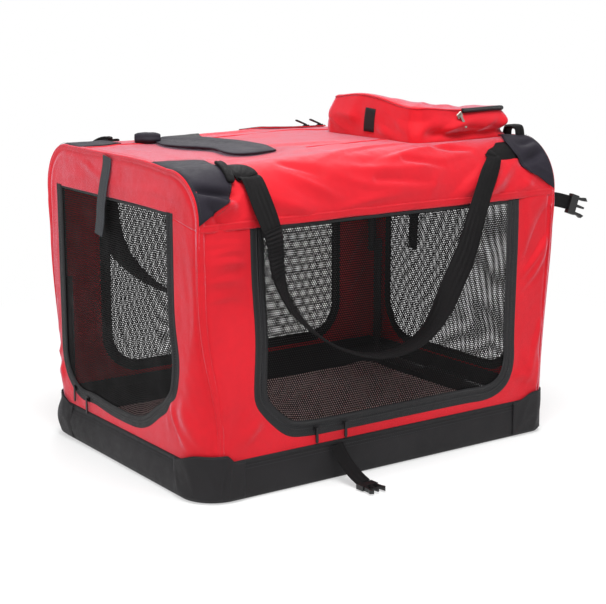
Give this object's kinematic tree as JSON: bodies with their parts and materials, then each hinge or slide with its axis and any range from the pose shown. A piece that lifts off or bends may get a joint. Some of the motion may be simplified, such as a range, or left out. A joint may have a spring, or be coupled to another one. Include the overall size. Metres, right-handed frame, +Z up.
{
  "type": "folding pet cage",
  "caption": "soft-sided folding pet cage with net doors in three walls, a net rear window, carrying straps, a roof pouch and a folding tube frame",
  "frame": {"origin": "middle of the base's flat underside, where the cage stands on the floor", "axes": "+X along the cage from its left end to its right end, -Y the front with the large net door, +Z up"},
  "size_m": [0.8275, 0.6524, 0.5819],
  "materials": {
    "red_cloth": "woven polyester",
    "base_cloth": "coated polyester",
    "patch_cloth": "woven polyester",
    "webbing": "woven webbing",
    "binding": "folded tape",
    "net": "knitted net",
    "fleece": "short fleece",
    "tube_paint": "satin black",
    "nylon": "moulded",
    "zip_metal": "cast"
  },
  "bodies": {
    "base": {"base_tub": "base_cloth", "floor_mat": "fleece", "base_ring": "tube_paint", "left_bracket": "nylon", "right_bracket": "nylon", "front_panel": "red_cloth", "rear_panel": "red_cloth", "left_panel": "red_cloth", "right_panel": "red_cloth", "front_zip": "binding", "left_zip": "binding", "right_zip": "binding", "rear_binding": "binding", "rear_net": "net"},
    "left_legs": {"left_lower_legs": "tube_paint"},
    "left_hoop": {"left_upper_hoop": "tube_paint"},
    "roof": {"top_panel": "red_cloth", "roof_rail_front": "tube_paint", "roof_rail_rear": "tube_paint", "patch_front_left": "patch_cloth", "patch_front_right": "patch_cloth", "patch_rear_left": "patch_cloth", "patch_rear_right": "patch_cloth", "strap_end_front_left": "webbing", "strap_end_front_right": "webbing", "strap_end_rear_left": "webbing", "strap_end_rear_right": "webbing", "pouch_body": "red_cloth", "pouch_tab": "webbing", "roof_loop": "webbing", "top_handle": "patch_cloth", "roof_zip": "red_cloth"},
    "right_hoop": {"right_upper_hoop": "tube_paint"},
    "right_legs": {"right_lower_legs": "tube_paint"},
    "front_door": {"front_door_edge": "binding", "front_door_net": "net"},
    "left_door": {"left_door_edge": "binding", "left_door_net": "net"},
    "right_door": {"right_door_edge": "binding", "right_door_net": "net"},
    "front_strap": {"front_carry_strap": "webbing"},
    "rear_strap": {"rear_carry_strap": "webbing"},
    "pouch_flap": {"pouch_lid": "red_cloth"},
    "left_roll": {"left_roll_strap": "patch_cloth"},
    "right_roll": {"right_roll_strap": "patch_cloth"},
    "front_tether": {"front_tether_strap": "webbing", "front_buckle": "nylon"},
    "right_tether": {"right_tether_strap": "webbing", "right_buckle": "nylon"},
    "front_zip_left": {"front_slider_left": "zip_metal"},
    "front_zip_right": {"front_slider_right": "zip_metal"},
    "left_zip_front": {"left_slider_front": "zip_metal"},
    "left_zip_rear": {"left_slider_rear": "zip_metal"},
    "right_zip_front": {"right_slider_front": "zip_metal"},
    "right_zip_rear": {"right_slider_rear": "zip_metal"},
    "roof_zip_left": {"roof_slider_left": "zip_metal"},
    "roof_zip_right": {"roof_slider_right": "zip_metal"},
    "pouch_zip": {"pouch_slider": "zip_metal"}
  },
  "joints": [
    {"name": "frame_fold", "type": "hinge", "parent": "base", "child": "left_legs", "pos_m": [-0.3432, 0, 0.045], "axis": [0, 1, 0], "range_deg": [0, 80], "deforming": ["front_panel", "rear_panel", "left_panel", "right_panel", "front_zip", "left_zip", "right_zip", "rear_binding", "rear_net", "top_panel", "patch_front_left", "patch_front_right", "patch_rear_left", "patch_rear_right", "front_carry_strap", "rear_carry_strap", "left_roll_strap", "right_roll_strap", "right_tether_strap", "front_door_edge", "front_door_net", "left_door_edge", "left_door_net", "right_door_edge", "right_door_net"]},
    {"name": "left_knee", "type": "hinge", "parent": "left_legs", "child": "left_hoop", "pos_m": [-0.3432, 0, 0.2716], "axis": [0, 1, 0], "range_deg": [-160, 0]},
    {"name": "left_roof_pivot", "type": "hinge", "parent": "left_hoop", "child": "roof", "pos_m": [-0.3432, 0, 0.4982], "axis": [0, 1, 0], "range_deg": [0, 80]},
    {"name": "right_roof_pivot", "type": "hinge", "parent": "roof", "child": "right_hoop", "pos_m": [0.3432, 0, 0.4982], "axis": [0, 1, 0], "range_deg": [0, 80]},
    {"name": "right_knee", "type": "hinge", "parent": "right_hoop", "child": "right_legs", "pos_m": [0.3432, 0, 0.2716], "axis": [0, 1, 0], "range_deg": [-160, 0]},
    {"name": "front_door_swing", "type": "hinge", "parent": "roof", "child": "front_door", "pos_m": [0.006, -0.249, 0.4242], "axis": [1, 0, 0], "range_deg": [-110, 0]},
    {"name": "left_door_swing", "type": "hinge", "parent": "roof", "child": "left_door", "pos_m": [-0.356, 0.016, 0.4477], "axis": [0, -1, 0], "range_deg": [-110, 0]},
    {"name": "right_door_swing", "type": "hinge", "parent": "roof", "child": "right_door", "pos_m": [0.356, 0.016, 0.4477], "axis": [0, 1, 0], "range_deg": [-110, 0]},
    {"name": "front_strap_lift", "type": "hinge", "parent": "roof", "child": "front_strap", "pos_m": [-0.004, -0.2045, 0.504], "axis": [1, 0, 0], "range_deg": [-150, 0]},
    {"name": "rear_strap_lift", "type": "hinge", "parent": "roof", "child": "rear_strap", "pos_m": [-0.004, 0.2045, 0.504], "axis": [-1, 0, 0], "range_deg": [-150, 0]},
    {"name": "pouch_lid_hinge", "type": "hinge", "parent": "roof", "child": "pouch_flap", "pos_m": [0.225, 0.09, 0.5775], "axis": [1, 0, 0], "range_deg": [-100, 0]},
    {"name": "left_roll_strap_swing", "type": "hinge", "parent": "roof", "child": "left_roll", "pos_m": [-0.3581, 0.022, 0.508], "axis": [0, -1, 0], "range_deg": [-90, 0]},
    {"name": "right_roll_strap_swing", "type": "hinge", "parent": "roof", "child": "right_roll", "pos_m": [0.3581, 0.12, 0.508], "axis": [0, 1, 0], "range_deg": [-90, 0]},
    {"name": "front_tether_swing", "type": "hinge", "parent": "base", "child": "front_tether", "pos_m": [-0.107, -0.2533, 0.059], "axis": [0.9766, 0, 0.2149], "range_deg": [-80, 0]},
    {"name": "right_tether_swing", "type": "hinge", "parent": "roof", "child": "right_tether", "pos_m": [0.3573, -0.235, 0.4145], "axis": [0, 0, 1], "range_deg": [-80, 80]},
    {"name": "front_slider_left_slide", "type": "slide", "parent": "base", "child": "front_zip_left", "axis": [1, 0, 0], "range_m": [-0.035, 0.04]},
    {"name": "front_slider_right_slide", "type": "slide", "parent": "base", "child": "front_zip_right", "axis": [1, 0, 0], "range_m": [0, 0.28]},
    {"name": "left_slider_front_slide", "type": "slide", "parent": "base", "child": "left_zip_front", "axis": [0, -1, 0], "range_m": [0, 0.2]},
    {"name": "left_slider_rear_slide", "type": "slide", "parent": "base", "child": "left_zip_rear", "axis": [0, 0.8572, 0.515], "range_m": [-0.006, 0.006]},
    {"name": "right_slider_front_slide", "type": "slide", "parent": "base", "child": "right_zip_front", "axis": [0, -1, 0], "range_m": [0, 0.2]},
    {"name": "right_slider_rear_slide", "type": "slide", "parent": "base", "child": "right_zip_rear", "axis": [0, 0.8572, 0.515], "range_m": [-0.006, 0.006]},
    {"name": "roof_slider_left_slide", "type": "slide", "parent": "roof", "child": "roof_zip_left", "axis": [-1, 0, 0], "range_m": [0, 0.14]},
    {"name": "roof_slider_right_slide", "type": "slide", "parent": "roof", "child": "roof_zip_right", "axis": [1, 0, 0], "range_m": [0, 0.005]},
    {"name": "pouch_slider_slide", "type": "slide", "parent": "roof", "child": "pouch_zip", "axis": [1, 0, 0], "range_m": [0, 0.085]}
  ],
  "couplings": [
    {"joint": "left_knee", "follows": "frame_fold", "ratio": -2},
    {"joint": "left_roof_pivot", "follows": "frame_fold", "ratio": 1},
    {"joint": "right_roof_pivot", "follows": "frame_fold", "ratio": 1},
    {"joint": "right_knee", "follows": "frame_fold", "ratio": -2}
  ]
}
